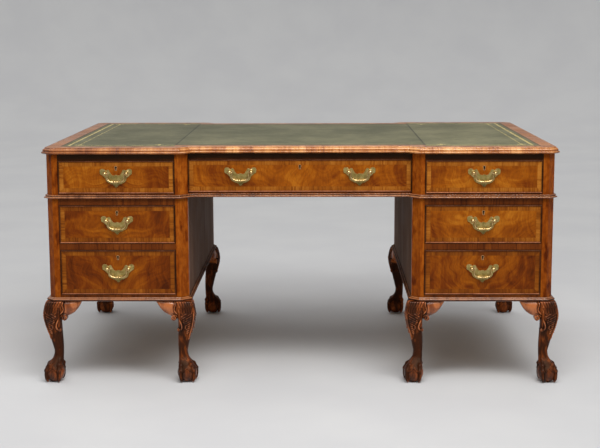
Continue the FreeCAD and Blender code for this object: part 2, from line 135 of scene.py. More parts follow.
# Least and most roughness of the polish on each kind of piece, and roughness of its clear film
panel_polish = (0.28, 0.44)
rail_polish = (0.30, 0.46)
post_polish = (0.34, 0.50)
moulding_polish = (0.26, 0.40)
leg_polish = (0.42, 0.54)
polish_film_roughness = 0.13

# Widths of the eased edges, in metres, and the angle from which an edge is eased
post_edge = 0.0008
rail_edge = 0.0005
top_moulding_edge = 0.0006
moulding_edge = 0.0004
front_edge = 0.0003
box_edge = 0.0006
plate_edge = 0.0009
bolt_edge = 0.0006
weld_reach = 0.000002
sharp_angle = math.radians(38)


# Finishes

def operator(operation):
    """Method of a shade that joins it with another shade or a number by a Math node."""
    def join(self, other):
        return self.math(operation, self, other)
    return join


class Shade:
    """A value over a finish's surface. Arithmetic on it adds Math nodes to the finish."""

    __add__ = __radd__ = operator("ADD")
    __sub__ = operator("SUBTRACT")
    __mul__ = __rmul__ = operator("MULTIPLY")
    __truediv__ = operator("DIVIDE")
    __mod__ = operator("FLOORED_MODULO")
    __lt__ = operator("LESS_THAN")
    __gt__ = operator("GREATER_THAN")
    least = operator("MINIMUM")
    most = operator("MAXIMUM")

    def __init__(self, tree, socket):
        self.tree = tree
        self.socket = socket

    def node(self, kind, settings, inputs, output=0):
        """Another node of the same finish, its settings made first; gives one of its outputs."""
        made = self.tree.nodes.new(kind)
        for name, value in settings.items():
            if name == "stops":
                set_stops(made.color_ramp, value)
            else:
                setattr(made, name, value)
        feed(self.tree, made, inputs)
        return Shade(self.tree, made.outputs[output])

    def parts(self):
        """The three coordinates of a place."""
        first = self.node("ShaderNodeSeparateXYZ", {}, {0: self})
        return [Shade(self.tree, output) for output in first.socket.node.outputs]

    def math(self, operation, *values):
        return self.node("ShaderNodeMath", {"operation": operation}, dict(enumerate(values)))

    def __rsub__(self, other):
        return self.math("SUBTRACT", other, self)

    def __abs__(self):
        return self.math("ABSOLUTE", self)

    def rise(self, low, high):
        """From 0 at one value to 1 at another, eased at both."""
        limits = {"Value": self, "From Min": low, "From Max": high}
        return self.node("ShaderNodeMapRange", {"interpolation_type": "SMOOTHSTEP"}, limits)

    def near(self, value, reach):
        """1 at a value, falling to 0 within a reach of it."""
        return 1 - abs(self - value).rise(0.0, reach)

    def choose(self, where_one, where_zero):
        """One value where this mask is 1 and another where it is 0."""
        return self * where_one + (1 - self) * where_zero

    def tint(self, *stops):
        """Colour by this value, from stops of a place and a colour."""
        return self.node("ShaderNodeValToRGB", {"stops": stops}, {0: self})

    def over(self, below, above):
        """A colour laid over another, as thick as this value."""
        return self.node("ShaderNodeMix", {"data_type": "RGBA"}, {0: self, 6: below, 7: above}, 2)


def feed(tree, node, inputs):
    """Link or set the inputs of a node."""
    for name, value in inputs.items():
        if isinstance(value, Shade):
            tree.links.new(value.socket, node.inputs[name])
        else:
            node.inputs[name].default_value = value


def set_stops(ramp, stops):
    """Set a colour ramp's stops."""
    while len(ramp.elements) < len(stops):
        ramp.elements.new(1.0)
    for element, (place, colour) in zip(ramp.elements, stops):
        element.position = place
        element.color = colour


def srgb(red, green, blue):
    """A colour as seen on a screen, in the shader's linear values."""
    shares = [level / 255 for level in (red, green, blue)]
    return tuple(s / 12.92 if s <= 0.04045 else ((s + 0.055) / 1.055) ** 2.4 for s in shares) + (1.0,)


def even_stops(*colours):
    """Colour stops at even steps from the darkest colour to the palest."""
    return tuple((step / (len(colours) - 1), srgb(*colour)) for step, colour in enumerate(colours))


def begin(name):
    """Start a finish: its material, the place on the piece in metres, and that place's coordinates."""
    material = bpy.data.materials.new(name)
    material.use_nodes = True
    place = Shade(material.node_tree, None).node("ShaderNodeTexCoord", {}, {}, "Object")
    return material, place, place.parts()


# Colour of the reflections in old polish, and in bare metal, leather and paint
shellac = (1.0, 0.74, 0.48, 1.0)
clear = (1.0, 1.0, 1.0, 1.0)


def lay(material, colour, roughness, relief, depth=wood_depth,
        coat=0.0, metal=0.0, shine=0.2, gloss=shellac):
    """Give a finish its colour, roughness, relief and coat of polish, even or as thick as a value says."""
    tree = material.node_tree
    height = {"Strength": 1.0, "Distance": depth, "Height": relief}
    feed(tree, tree.nodes["Principled BSDF"], {
        "Base Color": colour,
        "Roughness": roughness,
        "Normal": relief.node("ShaderNodeBump", {}, height, "Normal"),
        "Coat Weight": coat,
        "Coat Roughness": polish_film_roughness,
        "Metallic": metal,
        "Specular IOR Level": shine,
        "Specular Tint": gloss,
    })
    return material


def facing(place):
    """The three parts of the direction that the surface looks in."""
    return place.node("ShaderNodeTexCoord", {}, {}, "Normal").parts()


# Values of the noise that count as 0 and 1
cloud_limits = (0.28, 0.72)


def cloud(x, y, z, detail=2.0, roughness=0.5, bend=0.0):
    """Cloudy value from 0 to 1 over three stretched coordinates."""
    place = x.node("ShaderNodeCombineXYZ", {}, {0: x, 1: y, 2: z})
    inputs = {"Vector": place, "Scale": 1.0, "Detail": detail, "Roughness": roughness, "Distortion": bend}
    return place.node("ShaderNodeTexNoise", {}, inputs).rise(*cloud_limits)


def grain(along, across, deep, seed):
    """Tone of straight wood, 0 dark to 1 pale, and its open pores. The grain runs along one coordinate."""
    drift = cloud(along * 2.2 + seed, across * 15.0, deep * 15.0, detail=3.0, bend=0.7)
    fibre = cloud(along * 8.0 + seed, across * 210.0, deep * 210.0, detail=3.0, roughness=0.6)
    pore = cloud(along * 60.0 + seed, across * 1100.0, deep * 1100.0, detail=1.0).rise(0.72, 0.95)
    return drift * 0.62 + fibre * 0.38, pore


def banding(run, across, deep, seed, length, patchwork=0.5):
    """Tone, pores and joints of veneer laid across an edge in short lengths.

    The lengths differ in tone as much as patchwork says, and have fine dark streaks along the grain.
    """
    cell = run / length + seed
    lengths = {"voronoi_dimensions": "1D"}
    piece = cell.node("ShaderNodeTexVoronoi", lengths, {"W": cell}, "Color")
    joints = {"voronoi_dimensions": "1D", "feature": "DISTANCE_TO_EDGE"}
    edge = cell.node("ShaderNodeTexVoronoi", joints, {"W": cell}, "Distance")
    tone, pore = grain(across, run, deep, seed)
    streak = cloud(run * 150.0 + seed, across * 9.0, deep * 9.0, detail=3.0).rise(0.60, 1.0)
    tone = tone * (1 - patchwork) + piece * patchwork - streak * 0.35
    return tone, pore, 1 - edge.rise(0.0, joint_width / length)


# Dark of joints and lines, also laid on as painted shade in gaps, recesses and the kneehole
dark_line_and_shade = srgb(34, 13, 4)
# Painted shadow under the top moulding
top_shadow_dark = srgb(24, 8, 2)
carving_wax = srgb(22, 8, 2)
pore_dark = srgb(46, 20, 6)
oak_pore_dark = srgb(92, 64, 36)
end_grain = srgb(104, 66, 34)
saw_cut = srgb(48, 30, 16)
faded_hide = srgb(84, 70, 46)
dirty_hide = srgb(66, 42, 32)
seam_dark = srgb(24, 22, 15)
gold_leaf = srgb(214, 190, 112)
plate_shadow_dark = srgb(88, 76, 42)
thread_copper = srgb(216, 156, 112)
lock_dark = srgb(52, 40, 22)
flame_stops = (
    (0.0, srgb(70, 24, 2)), (0.32, srgb(112, 48, 3)), (0.66, srgb(150, 78, 8)), (1.0, srgb(186, 112, 26)),
)
carved_stops = (
    (0.0, srgb(26, 8, 2)), (0.5, srgb(62, 24, 7)), (0.8, srgb(136, 66, 24)), (1.0, srgb(182, 104, 54)),
)
banding_stops = even_stops((104, 48, 6), (142, 76, 14), (178, 110, 36))
post_stops = even_stops((82, 28, 4), (132, 60, 8), (172, 92, 22))
rail_stops = even_stops((66, 24, 5), (102, 46, 10), (136, 70, 20))
# The palest stops of the mouldings are reached on the painted highlight of their upward shoulders
top_edge_stops = even_stops((96, 42, 14), (168, 98, 44), (226, 166, 102))
waist_stops = even_stops((74, 32, 13), (122, 66, 34), (200, 138, 92))
base_stops = even_stops((56, 22, 7), (92, 46, 19), (172, 108, 64))
top_stops = even_stops((116, 64, 36), (158, 104, 66), (192, 138, 96))
# Kneehole sides: plain walnut, greyed partly as a painted sheen
kneehole_stops = even_stops((78, 52, 38), (106, 77, 60))
bead_stops = even_stops((44, 17, 7), (104, 54, 30), (186, 118, 82))
oak_stops = even_stops((132, 98, 60), (164, 128, 84), (190, 156, 112))
hide_stops = even_stops((70, 71, 52), (92, 90, 65), (116, 112, 82))
dull_brass_stops = even_stops((138, 118, 64), (180, 158, 94), (208, 188, 126))
rubbed_brass_stops = even_stops((186, 154, 98), (222, 190, 132), (242, 214, 160))
backdrop_stops = even_stops((198, 198, 199), (203, 203, 203))


def pored(colour, pore):
    """A colour of walnut with its open pores darkened."""
    return (pore * 0.35).over(colour, pore_dark)


def oak_pored(colour, pore):
    """A colour of oak with its open pores darkened."""
    return (pore * 0.45).over(colour, oak_pore_dark)


def edge_shade(value, edge):
    """Painted shade beside an edge, 1 at the edge and 0 beyond its reach."""
    return 1 - abs(value - edge).rise(shade_edge_start, shade_edge_reach)


def wood_relief(tone, pore):
    """Height of a wood surface: fibres and open pores."""
    return tone * 0.25 - pore


def panel(run, up, deep, half_run, half_up, band, seed, flame, lift=0.0, band_lift=0.0):
    """Colour, relief and distance from the edge of figured veneer in a banded border.

    The figure is mirrored at its middle and sweeps up towards the ends, as steeply as flame says.
    Lift pales it, and band_lift pales the border.
    """
    from_end = half_run - abs(run)
    from_edge = half_up - abs(up)
    inward = from_end.least(from_edge)
    ends = from_end < from_edge

    mirror = abs(run)
    bend = cloud(mirror * 5.0 + seed, up * 7.0, deep + seed, detail=2.0) - 0.5
    sweep = up - mirror * flame + bend * 0.10
    figure = cloud(sweep * 30.0 + seed, mirror * 4.0, up * 3.0, detail=3.0, roughness=0.6)
    patch = cloud(run * 7.0 + seed, up * 9.0, deep + seed, detail=3.0, bend=1.2)
    curl = cloud(sweep * 100.0, (mirror + up) * 16.0 + seed, deep, detail=3.0)
    fibre, pore = grain(up, run, deep, seed)
    stripe = cloud(run * 46.0 + seed + bend * 2.0, up * 3.0, deep + seed, detail=3.0)
    ribbon = cloud(run * 140.0 + seed + bend * 9.0, up * 8.0, deep + seed, detail=3.0)
    flank = (mirror / half_run).rise(0.30, 1.0)
    swirl = flank.choose(stripe, figure)
    tone = swirl * 0.34 + patch * 0.30 + curl * 0.14 + ribbon * 0.14 + fibre * 0.08 - flank * 0.20 + lift
    middle = tone.tint(*flame_stops)

    along_edge = ends.choose(up, run)
    across_edge = ends.choose(run, up)
    band_tone, band_pore, joint = banding(
        along_edge, across_edge, deep, seed, banding_length, patchwork=0.32)
    border = (joint * 0.55).over((band_tone + band_lift + ends * 0.16).tint(*banding_stops), dark_line_and_shade)

    in_middle = inward.rise(band - banding_line, band + banding_line)
    colour = in_middle.over(border, middle)
    colour = (inward.near(band, banding_line) * 0.15).over(colour, dark_line_and_shade)
    all_pores = in_middle.choose(pore, band_pore)
    return pored(colour, all_pores), wood_relief(tone, all_pores), inward


def polish_roughness(place, limits):
    """Roughness of old polish, worn unevenly."""
    least, most = limits
    x, y, z = place.parts()
    wear_and_highlight = cloud(x * 9.0, y * 9.0, z * 9.0, detail=3.0)
    return wear_and_highlight * (most - least) + least


def drawer_veneer(name, seed, flame, lift, tilt, band_lift):
    """Drawer front: figured veneer, cross-banding, cock beads, and plain wood behind, with painted shade
    and a painted highlight at the beads.

    Lift pales the figure, tilt pales its right end against its left, and band_lift pales the banding.
    """
    low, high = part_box("drawer_front_" + name)
    material, place, (x, y, z) = begin("drawer_veneer_" + name)
    middle = (low + high) / 2
    half = (high - low) / 2
    run = x - middle.x
    up = z - middle.z
    pale = run * (tilt / half.x) + lift
    band = bead_width + banding_width
    colour, relief, inward = panel(run, up, y, half.x, half.z, band, seed, flame, pale, band_lift)

    # Painted shade cast by the beads on the banding just inside them
    painted_shade_band = 1 - inward.rise(bead_width, bead_width + bead_shade_reach)
    colour = (painted_shade_band * 0.35).over(colour, dark_line_and_shade)
    bead_tone = grain(x + z, x - z, y, seed)[0]
    # Side beads painted darker as painted shade, and the lower bead paler as a painted highlight
    upright = half.x - abs(run) < half.z - abs(up)
    under = (up < 0) * (1 - upright)
    bead = (bead_tone * 0.5 + 0.20 - upright * 0.30 + under * 0.30).tint(*bead_stops)
    colour = (inward < bead_width).over(colour, bead)
    # Painted shade in the gap along the outer edge of the beads
    colour = ((1 - inward.rise(*bead_gap_shade)) * 0.8).over(colour, dark_line_and_shade)
    behind = y > low.y + bead_rise + veneer_thickness
    back_tone = grain(x, z, y, seed)[0]
    colour = (behind * (inward > bead_width)).over(colour, back_tone.tint(*oak_stops))
    return lay(material, colour, polish_roughness(place, panel_polish), relief)


def side_veneer(name, piece, run_axis, seed, flame):
    """Carcass panel: figured veneer in a banded border outside, plain and unpolished in the kneehole, where
    its greyish tone is partly a painted sheen.
    """
    low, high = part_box(piece)
    material, place, coordinates = begin(name)
    middle = (low + high) / 2
    half = (high - low) / 2
    run = coordinates[run_axis] - middle[run_axis]
    up = coordinates[2] - middle.z
    deep = coordinates[1 - run_axis]
    band = panel_banding_width
    colour, relief = panel(run, up, deep, half[run_axis], half.z, band, seed, flame)[:2]
    kneehole = abs(coordinates[0]) < kneehole_face_x
    plain_tone = grain(up, run, deep, seed)[0]
    # Plain veneer in the kneehole, greyed partly as a painted sheen
    colour = kneehole.over(colour, plain_tone.tint(*kneehole_stops))
    return lay(material, colour, polish_roughness(place, panel_polish) + kneehole * 0.45, relief)


def frieze_back_veneer(seed):
    """Backs of the frieze: a middle panel and two side ones, each in its own banded border."""
    material, place, (x, y, z) = begin("frieze_back_veneer")
    low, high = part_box("frieze_backs")
    side_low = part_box("pedestal_right_back")[0].x
    side = abs(x) > (inner_x + side_low) / 2
    side_half = (high.x - side_low) / 2
    run = side.choose(abs(x) - (high.x + side_low) / 2, x)
    half_run = side * (side_half - inner_x) + inner_x
    up = z - (low.z + high.z) / 2
    half_up = (high.z - low.z) / 2
    colour, relief = panel(run, up, y, half_run, half_up, banding_width, seed,
                           flame=0.5, lift=0.05, band_lift=0.05)[:2]
    return lay(material, colour, polish_roughness(place, panel_polish), relief)


def post_veneer():
    """Canted posts: upright walnut with a reddish mottle, and painted shade beside the drawers."""
    material, place, (x, y, z) = begin("post_veneer")
    tone, pore = grain(z, x + y, x - y, seed=3.1)
    mottle = cloud(z * 45.0, (x + y) * 60.0, (x - y) * 60.0, detail=3.0, bend=0.5)
    smudge = cloud(z * 11.0 + 4.0, (x + y) * 20.0, (x - y) * 20.0, detail=3.0).rise(0.66, 1.0)
    tone = tone * 0.65 + mottle * 0.35 - smudge * 0.50 + 0.10
    colour = pored(tone.tint(*post_stops), pore)
    low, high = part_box("drawer_front_upper_right")
    # Painted shade in the gaps beside the drawer openings
    painted_shade_mask = edge_shade(abs(x), low.x).most(edge_shade(abs(x), high.x)) * (y < low.y + shade_edge_depth)
    colour = (painted_shade_mask * 0.75).over(colour, dark_line_and_shade)
    return lay(material, colour, polish_roughness(place, post_polish), wood_relief(tone, pore), shine=0.1)


def rail_facing():
    """Rails between the drawers, faced with upright grain in long pieces, with a painted shadow of the top
    moulding over the top rail.
    """
    material, place, (x, y, z) = begin("rail_facing")
    tone, pore, joint = banding(x, z, y, seed=5.3, length=rail_facing_length)
    colour = pored((joint * 0.5).over(tone.tint(*rail_stops), dark_line_and_shade), pore)
    # Painted shade in the gaps above and below each drawer
    for drawer in ("frieze_right", "upper_right", "lower_right"):
        low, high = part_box("drawer_front_" + drawer)
        for edge in (low.z, high.z):
            colour = (edge_shade(z, edge) * 0.75).over(colour, dark_line_and_shade)
    # Painted shadow cast by the top moulding over the top rail
    painted_shade_band = z.rise(frieze_drawer_top - top_shadow_below, frieze_drawer_top + top_shadow_above)
    colour = (painted_shade_band * 0.93).over(colour, top_shadow_dark)
    return lay(material, colour, polish_roughness(place, rail_polish), wood_relief(tone, pore))


def moulding_wood(name, seed, length, stops, rub_and_highlight, side_start_x=end_runs_x, aged=0.0):
    """Moulding of cross-grained lengths, along whichever side it runs, dull inside the kneehole and painted
    darker there as painted shade.

    One share pales its upward-facing shoulders as a painted highlight, and another darkens its left end as
    painted shade, as if the light fell brighter towards the right.
    """
    material, place, (x, y, z) = begin(name)
    along_y = (abs(y) < half_depth - moulding_corner) * (abs(x) > side_start_x)
    run = along_y.choose(y, x)
    out = along_y.choose(x, y)
    tone, pore, joint = banding(run, z + out, z - out, seed, length, patchwork=0.35)
    patch = cloud(run * 22.0 + seed, z * 6.0, out * 6.0, detail=3.0)
    upward = facing(place)[2]
    # Upward-facing shoulders: a painted highlight
    wear_and_highlight = upward.rise(0.25, 0.55) * (1 - upward.rise(0.75, 0.92))
    # Darker towards the left end: painted shade
    from_left = (x + 0.1).rise(-outer_x, 0.0) * 1.25 - 1
    shade = tone * 0.6 + patch * 0.4 + (wear_and_highlight - 0.25) * rub_and_highlight + from_left * aged
    colour = pored((joint * 0.6).over(shade.tint(*stops), dark_line_and_shade), pore)
    kneehole = along_y * (abs(x) < kneehole_face_x)
    # Painted shade inside the kneehole
    colour = (kneehole * 0.5).over(colour, dark_line_and_shade)
    roughness = polish_roughness(place, moulding_polish) + kneehole * 0.4
    return lay(material, colour, roughness, wood_relief(tone, pore), coat=0.7 - kneehole * 0.7)


def top_banding():
    """Border of the top: veneer laid square to each edge and mitred at the corners."""
    material, place, (x, y, z) = begin("top_banding")
    from_side = outer_x - abs(x)
    edge_y = (abs(x) < top_break_x) * (-centre_setback) + half_depth
    from_front = edge_y - abs(y)
    sides = from_side < from_front
    run = sides.choose(y, x)
    across = sides.choose(x, y)
    tone, pore, joint = banding(run, across, z, seed=9.2, length=top_banding_length)
    colour = pored((joint * 0.6).over(tone.tint(*top_stops), dark_line_and_shade), pore)
    return lay(material, colour, polish_roughness(place, rail_polish), wood_relief(tone, pore), shine=0.4)


def hide():
    """Green leathers with fine grain, worn patches, a dark seam between them and gold-tooled borders, the
    middle and right hides painted paler as painted light from the right.
    """
    material, place, (x, y, z) = begin("hide")
    side = abs(x) > leather_seam_x
    from_end = leather_end_x - abs(x)
    from_front = side * centre_setback + (leather_end_y - centre_setback) - abs(y)
    inward = from_end.least(from_front)
    run = (from_end < from_front).choose(y, x)

    def tooled(inset, width):
        """1 on a line that runs at an inset from the edge."""
        return 1 - (abs(inward - inset) - width / 2).rise(*tool_edge)

    creases = place.node("ShaderNodeTexVoronoi", {"feature": "DISTANCE_TO_EDGE"},
                         {"Vector": place, "Scale": 620.0}, "Distance").rise(0.0, 0.35)
    wear_and_highlight = cloud(x * 5.0, y * 5.0, z, detail=4.0, roughness=0.6)
    worn = cloud(x * 38.0, y * 38.0, z, detail=3.0)
    # Painted light: the middle hide a little paler, and the right hide paler still
    painted_side_light = (x > leather_seam_x) * 0.22 + (1 - side) * 0.06
    tone = wear_and_highlight * 0.50 + worn * 0.25 + creases * 0.25 + painted_side_light
    colour = tone.tint(*hide_stops)
    colour = ((1 - inward.rise(0.0, fade_reach)) * 0.3).over(colour, faded_hide)
    colour = ((1 - inward.rise(*border_dirt)) * 0.7).over(colour, dirty_hide)
    colour = (abs(x).near(leather_seam_x, seam_reach) * 0.95).over(colour, seam_dark)

    line_edges = abs(inward - tool_line_in) > tool_line_width * 0.3
    notched = (abs((run / notch_pitch) % 1.0 - 0.5) > 0.16).most(line_edges)
    line = tooled(tool_line_in, tool_line_width) * notched
    fillet = tooled(tool_fillet_in, tool_fillet_width) * ((run / dot_pitch) % 1.0 < 0.66)
    corner_x = from_end.least(abs(x) - leather_seam_x) - tool_fillet_in
    corner_y = from_front - tool_fillet_in
    reach = corner_x.math("SQRT", corner_x * corner_x + corner_y * corner_y)
    turn = corner_y.math("ARCTAN2", corner_y, corner_x)
    petal = turn.math("COSINE", turn * 4.0) * petal_height + flower_radius
    flower = ((reach < petal) * (reach > petal * 0.55)).most(reach < flower_eye)
    gilt = side.choose(line.most(fillet).most(flower), fillet * 0.5)
    gilt = gilt * cloud(x * 60.0, y * 60.0, z, detail=3.0).rise(0.0, 0.40)
    colour = gilt.over(colour, gold_leaf)
    roughness = 0.66 - gilt * 0.26 - wear_and_highlight * 0.08
    relief = creases * 0.6 + worn * 0.2 - gilt * 1.5
    return lay(material, colour, roughness, relief, shine=0.3, gloss=clear)


def bright_brass(place, flat):
    """Colour, tone and relief of lacquered brass, olive where it is flat, bright where hands wear it."""
    x, y, z = place.parts()
    stain = cloud(x * 70.0, y * 70.0, z * 70.0, detail=4.0, roughness=0.6)
    speck = cloud(x * 420.0, y * 420.0, z * 420.0, detail=2.0)
    tone = stain * 0.7 + speck * 0.3
    colour = flat.over(tone.tint(*rubbed_brass_stops), tone.tint(*dull_brass_stops))
    return colour, tone, speck + stain


def flat_face(place):
    """1 on faces that look to the front or back, 0 on edges and round parts."""
    return abs(facing(place)[1]).rise(0.90, 0.995)


def grip_brass():
    """Brass of the bails and bolts, bright from use."""
    material, place = begin("grip_brass")[:2]
    colour, tone, relief = bright_brass(place, flat_face(place) * 0.6)
    return lay(material, colour, 0.32 - tone * 0.12, relief, brass_depth, metal=1.0, shine=0.5, gloss=clear)


def plate_brass(drawer):
    """Brasses of a drawer: plates darkened below the grip as a painted shadow of the bail, a worn thread at
    the keyhole, and a lock painted dark as the shade inside the keyhole.
    """
    material, place, (x, y, z) = begin("plate_brass_" + drawer)
    low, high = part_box("drawer_front_" + drawer)
    thread = (abs(x - (low.x + high.x) / 2) < thread_reach) * (z > high.z - keyhole_low)
    flat = flat_face(place) * (1 - thread)
    colour, tone, relief = bright_brass(place, flat)
    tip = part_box("drawer_brasses_" + drawer)[0].z
    # Painted shadow of the bail on the lower part of the plate
    painted_shade_mask = flat * (1 - (z - tip).rise(*plate_shadow_reach))
    colour = (painted_shade_mask * 0.6).over(colour, plate_shadow_dark)
    colour = (thread * 0.6).over(colour, thread_copper)
    # Lock inside painted dark, standing for the shade in the keyhole
    inside = y > low.y + bead_rise + plate_thickness
    colour = (inside * 0.85).over(colour, lock_dark)
    roughness = flat.choose(0.44, 0.30) + (0.5 - tone) * 0.12
    return lay(material, colour, roughness, relief, brass_depth, metal=1.0, shine=0.5, gloss=clear)


def drawer_lining(name):
    """Oak drawer linings, with the tails of the joints showing at the front end of each side."""
    low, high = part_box("drawer_box_" + name)
    material, place, (x, y, z) = begin("drawer_lining_" + name)
    tone, pore = grain(y, x + z, x - z, seed=7.7 + low.x)
    fleck = cloud(y * 30.0, x * 300.0, z * 90.0, detail=2.0).rise(0.6, 0.9)
    colour = oak_pored((tone * 0.85 + fleck * 0.15).tint(*oak_stops), pore)

    pitch = (high.z - low.z) / tail_count
    share = ((y - low.y) / tail_length).least(1.0)
    across_tail = abs(((z - low.z) / pitch) % 1.0 - 0.5)
    past_tail = across_tail - (share * tail_slope + tail_half)
    outer_face = abs(x - (low.x + high.x) / 2) > (high.x - low.x) / 2 - tail_face
    on_joint = (y < low.y + tail_length) * outer_face
    colour = ((past_tail > 0) * on_joint * 0.6).over(colour, end_grain)
    end_line = y.near(low.y + tail_length, tail_end_line)
    cut = ((past_tail * pitch).near(0.0, tail_line) * on_joint).most(end_line * outer_face)
    colour = (cut * 0.75).over(colour, saw_cut)
    return lay(material, colour, 0.66 - tone * 0.1, wood_relief(tone, pore) - cut, oak_depth, shine=0.3)


def carcass_board():
    """Plain oak of the dustboards and partitions."""
    material, place, (x, y, z) = begin("carcass_board")
    tone, pore = grain(y, x + z, x - z, seed=2.4)
    colour = oak_pored(tone.tint(*oak_stops), pore)
    return lay(material, colour, 0.68 - tone * 0.1, wood_relief(tone, pore), oak_depth, shine=0.3)


def carved_walnut(name, polish):
    """Solid walnut of the legs, with dark wax in the hollows of the carving; its ridges are paler, partly
    from wear and partly as a painted highlight, and the smooth ears and bare ball are paler as a painted
    highlight.
    """
    material, place, (x, y, z) = begin(name)
    tone, pore = grain(z, x + y, x - y, seed=4.6)
    mottle = cloud(z * 18.0, (x + y) * 34.0, (x - y) * 34.0, detail=3.0, bend=0.6)
    hollow = place.node("ShaderNodeAttribute", {"attribute_name": "hollow"}, {}, "Fac")
    ridge = place.node("ShaderNodeAttribute", {"attribute_name": "ridge"}, {}, "Fac")
    # Paler where proud: partly wear, and partly a painted highlight on the ridges, ears and ball
    colour = pored((tone * 0.45 + mottle * 0.45 + ridge * 0.5).tint(*carved_stops), pore)
    colour = (hollow * 0.75).over(colour, carving_wax)
    roughness = polish_roughness(place, leg_polish) - ridge * 0.2 + hollow * 0.2 + (1 - polish) * 0.2
    dusty = facing(place)[2].rise(0.65, 0.9)
    coat = ridge * (1 - dusty) * 0.9 * polish
    return lay(material, colour, roughness, wood_relief(tone, pore), coat=coat)


# Carcass and drawers

def smooth_shading():
    """Node group that shades every face of a piece smoothly, before its normals are weighted."""
    group = bpy.data.node_groups.new("smooth_shading", "GeometryNodeTree")
    group.interface.new_socket("Geometry", in_out="INPUT", socket_type="NodeSocketGeometry")
    group.interface.new_socket("Geometry", in_out="OUTPUT", socket_type="NodeSocketGeometry")
    start = group.nodes.new("NodeGroupInput")
    smooth = group.nodes.new("GeometryNodeSetShadeSmooth")
    end = group.nodes.new("NodeGroupOutput")
    group.links.new(start.outputs[0], smooth.inputs["Geometry"])
    group.links.new(smooth.outputs[0], end.inputs[0])
    return group


def soften(name, width):
    """Ease the sharp edges of a piece, as a scraper and long use do."""
    piece = nodes[name]
    weld = piece.modifiers.new("joined_faces", "WELD")
    weld.merge_threshold = weld_reach
    bevel = piece.modifiers.new("eased_edges", "BEVEL")
    bevel.width = width
    bevel.segments = 2
    bevel.limit_method = "ANGLE"
    bevel.angle_limit = sharp_angle
    shading = piece.modifiers.new("smooth_faces", "NODES")
    shading.node_group = smooth_group
    piece.modifiers.new("even_normals", "WEIGHTED_NORMAL")


def dress(name, finish, width=0.0):
    """Give a piece its finish, and eased edges of a width."""
    for material_slot in nodes[name].material_slots:
        material_slot.material = finish
    if width:
        soften(name, width)


# Each drawer's veneer: seed, steepness of the flame, paleness, how much paler its right end is,
# and paleness of the banding; the frieze drawers are paler and the lowest darker, partly veneer tone and
# partly painted light falling from above
drawer_figures = {
    "frieze_centre": (11.3, 0.35, 0.11, 0.0, 0.10),
    "frieze_left": (23.7, -0.55, 0.10, -0.12, 0.20),
    "upper_left": (31.2, 0.75, 0.0, 0.0, -0.13),
    "lower_left": (47.9, 0.95, -0.11, 0.0, -0.22),
    "frieze_right": (52.4, -0.45, 0.22, 0.0, 0.22),
    "upper_right": (66.8, 0.80, 0.18, -0.03, -0.02),
    "lower_right": (71.5, 1.05, -0.02, -0.07, -0.25),
}

smooth_group = smooth_shading()
bail_brass = grip_brass()
board = carcass_board()
posts = post_veneer()
rails = rail_facing()

top_edge_wood = moulding_wood("top_moulding_wood", 4.4, top_edge_length, top_edge_stops, rub_and_highlight=0.3, aged=0.4)
waist_wood = moulding_wood("waist_moulding_wood", 6.1, waist_length, waist_stops, rub_and_highlight=0.6)
base_wood = moulding_wood("base_moulding_wood", 8.3, base_length, base_stops, rub_and_highlight=0.7, side_start_x=0.0)

dress("top_board", top_banding())
dress("top_moulding", top_edge_wood, top_moulding_edge)
dress("leather_panels", hide())
dress("frieze_posts", posts, post_edge)
dress("frieze_ends", side_veneer("frieze_end_veneer", "frieze_ends", run_axis=1, seed=15.2, flame=0.5))
dress("frieze_partitions", board)
dress("frieze_rails", rails, rail_edge)
dress("frieze_backs", frieze_back_veneer(18.4))
dress("frieze_dustboards", board)
dress("waist_moulding", waist_wood, moulding_edge)
for side_name, side_seed in (("left", 81.0), ("right", 87.0)):
    pedestal = "pedestal_" + side_name
    sides, back = pedestal + "_sides", pedestal + "_back"
    dress(pedestal + "_posts", posts, post_edge)
    dress(sides, side_veneer(pedestal + "_side_veneer", sides, run_axis=1, seed=side_seed, flame=0.6))
    dress(back, side_veneer(pedestal + "_back_veneer", back, run_axis=0, seed=side_seed + 2, flame=0.9))
    dress(pedestal + "_rails", rails, rail_edge)
    dress(pedestal + "_boards", board)
    dress(pedestal + "_base_moulding", base_wood, moulding_edge)
for drawer, figure in drawer_figures.items():
    dress("drawer_front_" + drawer, drawer_veneer(drawer, *figure), front_edge)
    dress("drawer_box_" + drawer, drawer_lining(drawer), box_edge)
    dress("drawer_brasses_" + drawer, plate_brass(drawer), plate_edge)
    dress("lock_bolt_" + drawer, bail_brass, bolt_edge)


# Meshes of new pieces

def flow(rows, places):
    """Smooth values between the rows of a table, whose first column rises."""
    table = np.asarray(rows, float)
    start = table[:, 0]
    slopes = np.gradient(table[:, 1:], start, axis=0)
    i = np.clip(np.searchsorted(start, places, side="right") - 1, 0, len(start) - 2)
    width = (start[i + 1] - start[i])[:, None]
    s = (places - start[i])[:, None] / width
    rest = 1 - s
    return (table[i, 1:] * (1 + 2 * s) * rest ** 2 + slopes[i] * width * s * rest ** 2
            + table[i + 1, 1:] * s ** 2 * (3 - 2 * s) - slopes[i + 1] * width * s ** 2 * rest)


def ease(values, low, high):
    """From 0 at one value to 1 at another, eased at both."""
    share = np.clip((values - low) / (high - low), 0, 1)
    return share * share * (3 - 2 * share)


def skin(rings, closed=True):
    """Points and faces of a skin through rings of points, capped at its start, and at its end if closed."""
    count, around = rings.shape[:2]
    faces = []
    for i in range(count - 1):
        for j in range(around):
            k = (j + 1) % around
            faces.append((i * around + j, i * around + k, (i + 1) * around + k, (i + 1) * around + j))
    faces.append(tuple(reversed(range(around))))
    if closed:
        faces.append(tuple(range((count - 1) * around, count * around)))
    return rings.reshape(-1, 3), faces


def ringed(x, y, z, closed=True):
    """Skin through rings, from the coordinates of their points, with a row for each ring."""
    return skin(np.stack(np.broadcast_arrays(x, y, z), axis=2), closed)


def ring_turns(count):
    """Even turns round a ring."""
    return np.linspace(0, 2 * math.pi, count, endpoint=False)


